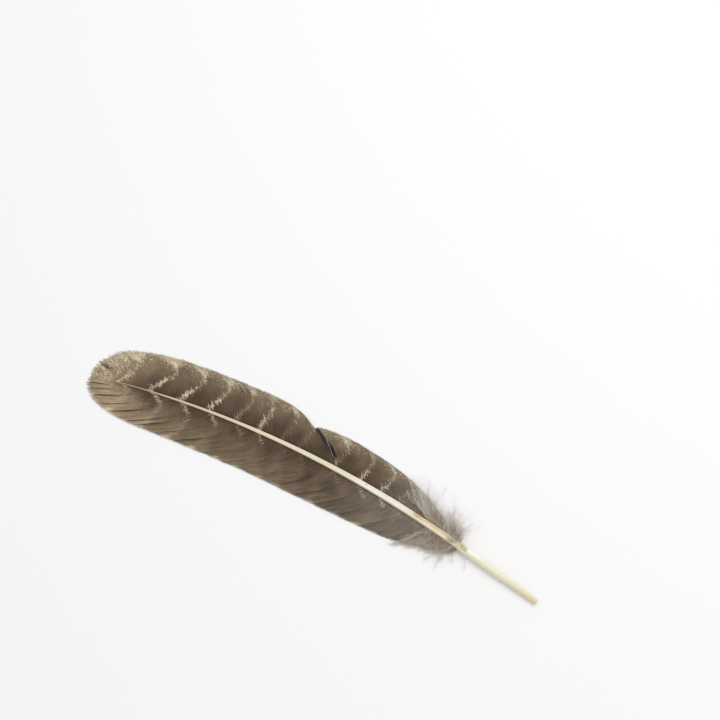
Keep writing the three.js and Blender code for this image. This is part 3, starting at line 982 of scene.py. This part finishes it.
def downy_mesh(name, settings, lines, rng):
    """Limp barbs along lines, with fine barbules all round them."""
    count, rows = lines.shape[:2]
    along = np.linspace(0, 1, rows)
    chance = rng.random(count)
    one = np.ones((count, rows))
    widths = 0.2 * (1 - 0.65 * along) * one
    place = np.stack((one * 0, one * along, one * chance[:, None]), -1)
    stems = strands(name + "_stems", lines, widths, widths, np.zeros(count), place, place, sides=3)

    per = settings.barbules
    at = (np.arange(per) + 0.5) / per * (rows - 1)
    low = np.minimum(at.astype(int), rows - 2)
    roots = lerp(lines[:, low], lines[:, low + 1], (at - low)[None, :, None]).reshape(-1, 3)
    tangent = unit(lines[:, low + 1] - lines[:, low]).reshape(-1, 3)
    total = count * per
    spin = rng.uniform(0, 2 * math.pi, total)
    flat = unit(np.cross(tangent, (0, 0, 1)))
    up = np.cross(flat, tangent)
    outward = flat * np.cos(spin)[:, None] + up * (np.sin(spin) * 0.5)[:, None]
    direction = unit(outward + tangent * rng.uniform(0.5, 1.6, total)[:, None])
    steps = np.linspace(0, 1, 3)
    hairs = sprays(roots, direction, rng.uniform(0.7, 2.6, total), steps)
    hairs[:, 1:, :] += rng.normal(0, 0.12, (total, 2, 3))
    hairs[..., 2] = np.maximum(hairs[..., 2], 0.12)
    thin = 0.07 * (1 - 0.6 * steps) * np.ones((total, 3))
    out = np.tile(at / (rows - 1), count)[:, None] + 0.25 * steps
    spot = np.stack((out * 0, out, np.repeat(chance, per)[:, None] * np.ones((total, 3))), -1)
    fluff = strands(name + "_barbules", hairs, thin, thin, np.zeros(total), spot, spot, sides=3)

    bm = bmesh.new()
    for part in (stems, fluff):
        bm.from_mesh(part)
        bpy.data.meshes.remove(part)
    return as_mesh(bm, name)


def curled(lines, rng, curl):
    """The lines with a limp wave that grows toward their ends."""
    count, rows = lines.shape[:2]
    along = np.linspace(0, 1, rows)
    phase = rng.uniform(0, 2 * math.pi, (count, 1, 3))
    wave = rng.uniform(3, 8.5, (count, 1, 3))
    amount = curl * rng.uniform(0.2, 1, (count, 1, 3)) * np.array((1, 1, 0.3))
    bend = np.sin(along[None, :, None] * wave + phase) - np.sin(phase)
    lines = lines + bend * amount * (along ** 1.4)[None, :, None]
    lines[..., 2] = np.maximum(lines[..., 2], 0.2)
    return lines


def webby_lines(ribs, side, start, end, count, reach, rng):
    """Downy barbs that lie like the web's own."""
    station = np.sort(rng.uniform(start, end, count))
    out = ALONG_DOWN[None, :] * rng.uniform(*reach, count)[:, None]
    lines, _ = barb_curve(ribs, side, station, out)
    lines[..., 2] += rng.uniform(0.2, 1, count)[:, None] * out
    return lines


def wild_lines(side, start, end, count, reach, lean, height, rng):
    """Downy barbs that stand off the rachis at all angles."""
    station = rng.uniform(start, end, count)
    middle, tipward, outward = shaft_line(station)
    roots = middle + outward * (side * shaft_width(station) * 0.4)[:, None]
    roots[:, 2] += rng.uniform(-0.5, 0.6, count)
    rise = rng.uniform(*height, count)
    direction = unit(outward * side + tipward * rng.normal(*lean, count)[:, None])
    lines = sprays(roots, direction, rng.uniform(*reach, count), ALONG_DOWN)
    fall = roots[:, None, 2] * 0.6 * ALONG_DOWN
    lines[..., 2] += rise[:, None] * np.sin(math.pi * ALONG_DOWN ** 0.8) - fall
    return lines


def build_tuft(settings, side_name, tuft, groups, material, rng):
    """One tuft of down from groups of lines, each with its own curl."""
    lines = np.concatenate([curled(group, rng, curl) for group, curl in groups])
    name = f"{side_name}_fluff_{tuft}"
    piece = add_piece(name, downy_mesh(name, settings, lines, rng), material, "shaft")
    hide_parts(f"{side_name}_down_{tuft}")


class FEATHER_OT_down(bpy.types.Operator):
    """Builds the tufts of down on both sides of the rachis's base"""

    bl_idname = "feather.down"
    bl_label = "Down"

    def execute(self, context):
        settings = context.scene.feather_down
        count = settings.barbs
        rng = np.random.default_rng(5)
        half = (station_at(OUTER_RUN_ENDS[0]) - BARREL_LENGTH) / 2
        grey = down_material("feather_outer_down", linear(174, 154, 130), settings.light)
        brown = down_material("feather_inner_down", settings.dark, linear(224, 213, 199))
        for tuft, reach, lean in ((1, (7, 20), (0.7, 0.6)), (2, (14, 30), (1.6, 0.6))):
            start, end = BARREL_LENGTH + 1 + (tuft - 1) * half, BARREL_LENGTH + tuft * half
            close = webby_lines(OUTER_BASE_RIBS, 1, start, end, count, (0.6, 1.1), rng)
            wild = wild_lines(1, start, end, count * (2 + tuft), reach, lean, (0.6, 2.6), rng)
            build_tuft(settings, "outer", tuft, ((close, 1.2), (wild, 4)), grey, rng)

            close = webby_lines(INNER_RIBS, -1, start, end, count * 2, (0.65, 1.4), rng)
            wild = wild_lines(-1, start, end, count, (7, 18), (0.5, 0.7), (0, 0.8), rng)
            build_tuft(settings, "inner", tuft, ((close, 1), (wild, 3)), brown, rng)
        return {"FINISHED"}


AFTERFEATHER_BARBS = 12
AFTERFEATHER_STATIONS = (52, 57)


class FEATHER_OT_afterfeather(bpy.types.Operator):
    """Builds the small tuft that grows from the umbilicus"""

    bl_idname = "feather.afterfeather"
    bl_label = "Afterfeather"

    def execute(self, context):
        settings = context.scene.feather_down
        rng = np.random.default_rng(9)
        count = AFTERFEATHER_BARBS
        station = rng.uniform(*AFTERFEATHER_STATIONS, count)
        middle, tipward, outward = shaft_line(station)
        roots = middle + outward * rng.uniform(-1.4, 1.4, count)[:, None]
        roots[:, 2] += shaft_height(station) / 2 - 0.15
        direction = unit(tipward + outward * rng.normal(0, 0.6, count)[:, None])
        lines = sprays(roots, direction, rng.uniform(3, 7, count), ALONG_DOWN)
        lines[..., 2] += 0.5 * np.sin(math.pi * ALONG_DOWN)
        mesh = downy_mesh("afterfeather_fluff", settings, curled(lines, rng, 0.5), rng)
        material = down_material("feather_afterfeather", linear(196, 174, 144),
                                 linear(238, 230, 216))
        piece = add_piece("afterfeather_fluff", mesh, material, "shaft")
        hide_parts("afterfeather")
        return {"FINISHED"}


# ---- Stage --------------------

FLOOR_REACH = 30
WINDOW_PLACE = Vector((0.35, 0.9, 1.3))
WINDOW_WIDTH = 1.2


def aimed(name, data, place, direction):
    """An object in the scene at a place, looking in a direction."""
    made = bpy.data.objects.new(name, data)
    made.location = place
    made.rotation_euler = direction.to_track_quat("-Z", "Y").to_euler()
    bpy.context.scene.collection.objects.link(made)
    return made


class FEATHER_OT_stage(bpy.types.Operator):
    """Builds the pale floor, the soft light and the camera"""

    bl_idname = "feather.stage"
    bl_label = "Stage"

    def execute(self, context):
        settings = context.scene.feather_stage
        bm = bmesh.new()
        bmesh.ops.create_grid(bm, x_segments=1, y_segments=1, size=FLOOR_REACH)
        mesh = as_mesh(bm, "floor")
        floor = bpy.data.objects.new("floor", mesh)
        mesh.materials.append(Wires("floor_paper").finish(settings.paper, 0.9))
        context.scene.collection.objects.link(floor)

        world = bpy.data.worlds.new("white_room")
        world.use_nodes = True
        air = world.node_tree.nodes["Background"].inputs
        air["Color"].default_value = (*settings.air, 1)
        air["Strength"].default_value = settings.air_strength
        context.scene.world = world
        context.scene.view_settings.view_transform = "Standard"

        window = bpy.data.lights.new("window", "AREA")
        window.shape = "DISK"
        window.size = WINDOW_WIDTH
        window.energy = settings.window
        aimed("window", window, WINDOW_PLACE, -WINDOW_PLACE)

        camera = bpy.data.cameras.new("camera")
        camera.lens = settings.lens
        camera.sensor_width = 36
        camera.clip_start = 0.01
        azimuth, elevation = settings.azimuth, settings.elevation
        back = Vector((math.sin(azimuth) * math.cos(elevation),
                       -math.cos(azimuth) * math.cos(elevation), math.sin(elevation)))
        place = Vector(settings.target) + back * settings.distance
        context.scene.camera = aimed("camera", camera, place, -back)
        return {"FINISHED"}


# ---- Panel and registration --------------------

GROUPS = {"feather_shaft": ShaftSettings, "feather_web": WebSettings,
          "feather_down": DownSettings, "feather_stage": StageSettings}
OPERATORS = (FEATHER_OT_shaft, FEATHER_OT_outer_web, FEATHER_OT_inner_web,
             FEATHER_OT_stray_barbs, FEATHER_OT_down, FEATHER_OT_afterfeather, FEATHER_OT_stage)


class FEATHER_PT_panel(bpy.types.Panel):
    """Lists the feather's builders and their settings"""

    bl_idname = "FEATHER_PT_panel"
    bl_label = "Feather"
    bl_space_type = "VIEW_3D"
    bl_region_type = "UI"
    bl_category = "Feather"

    def draw(self, context):
        for operator in OPERATORS:
            self.layout.operator(operator.bl_idname)
        for name, group in GROUPS.items():
            column = self.layout.column()
            for field in group.__annotations__:
                column.prop(getattr(context.scene, name), field)


CLASSES = (*GROUPS.values(), *OPERATORS, FEATHER_PT_panel)


def register():
    for cls in CLASSES:
        bpy.utils.register_class(cls)
    for name, group in GROUPS.items():
        setattr(bpy.types.Scene, name, bpy.props.PointerProperty(type=group))


def unregister():
    for name in GROUPS:
        delattr(bpy.types.Scene, name)
    for cls in reversed(CLASSES):
        bpy.utils.unregister_class(cls)


def main():
    register()
    bpy.ops.feather.shaft()
    bpy.ops.feather.outer_web()
    bpy.ops.feather.inner_web()
    bpy.ops.feather.stray_barbs()
    bpy.ops.feather.down()
    bpy.ops.feather.afterfeather()
    bpy.ops.feather.stage()


if __name__ == "__main__":
    main()
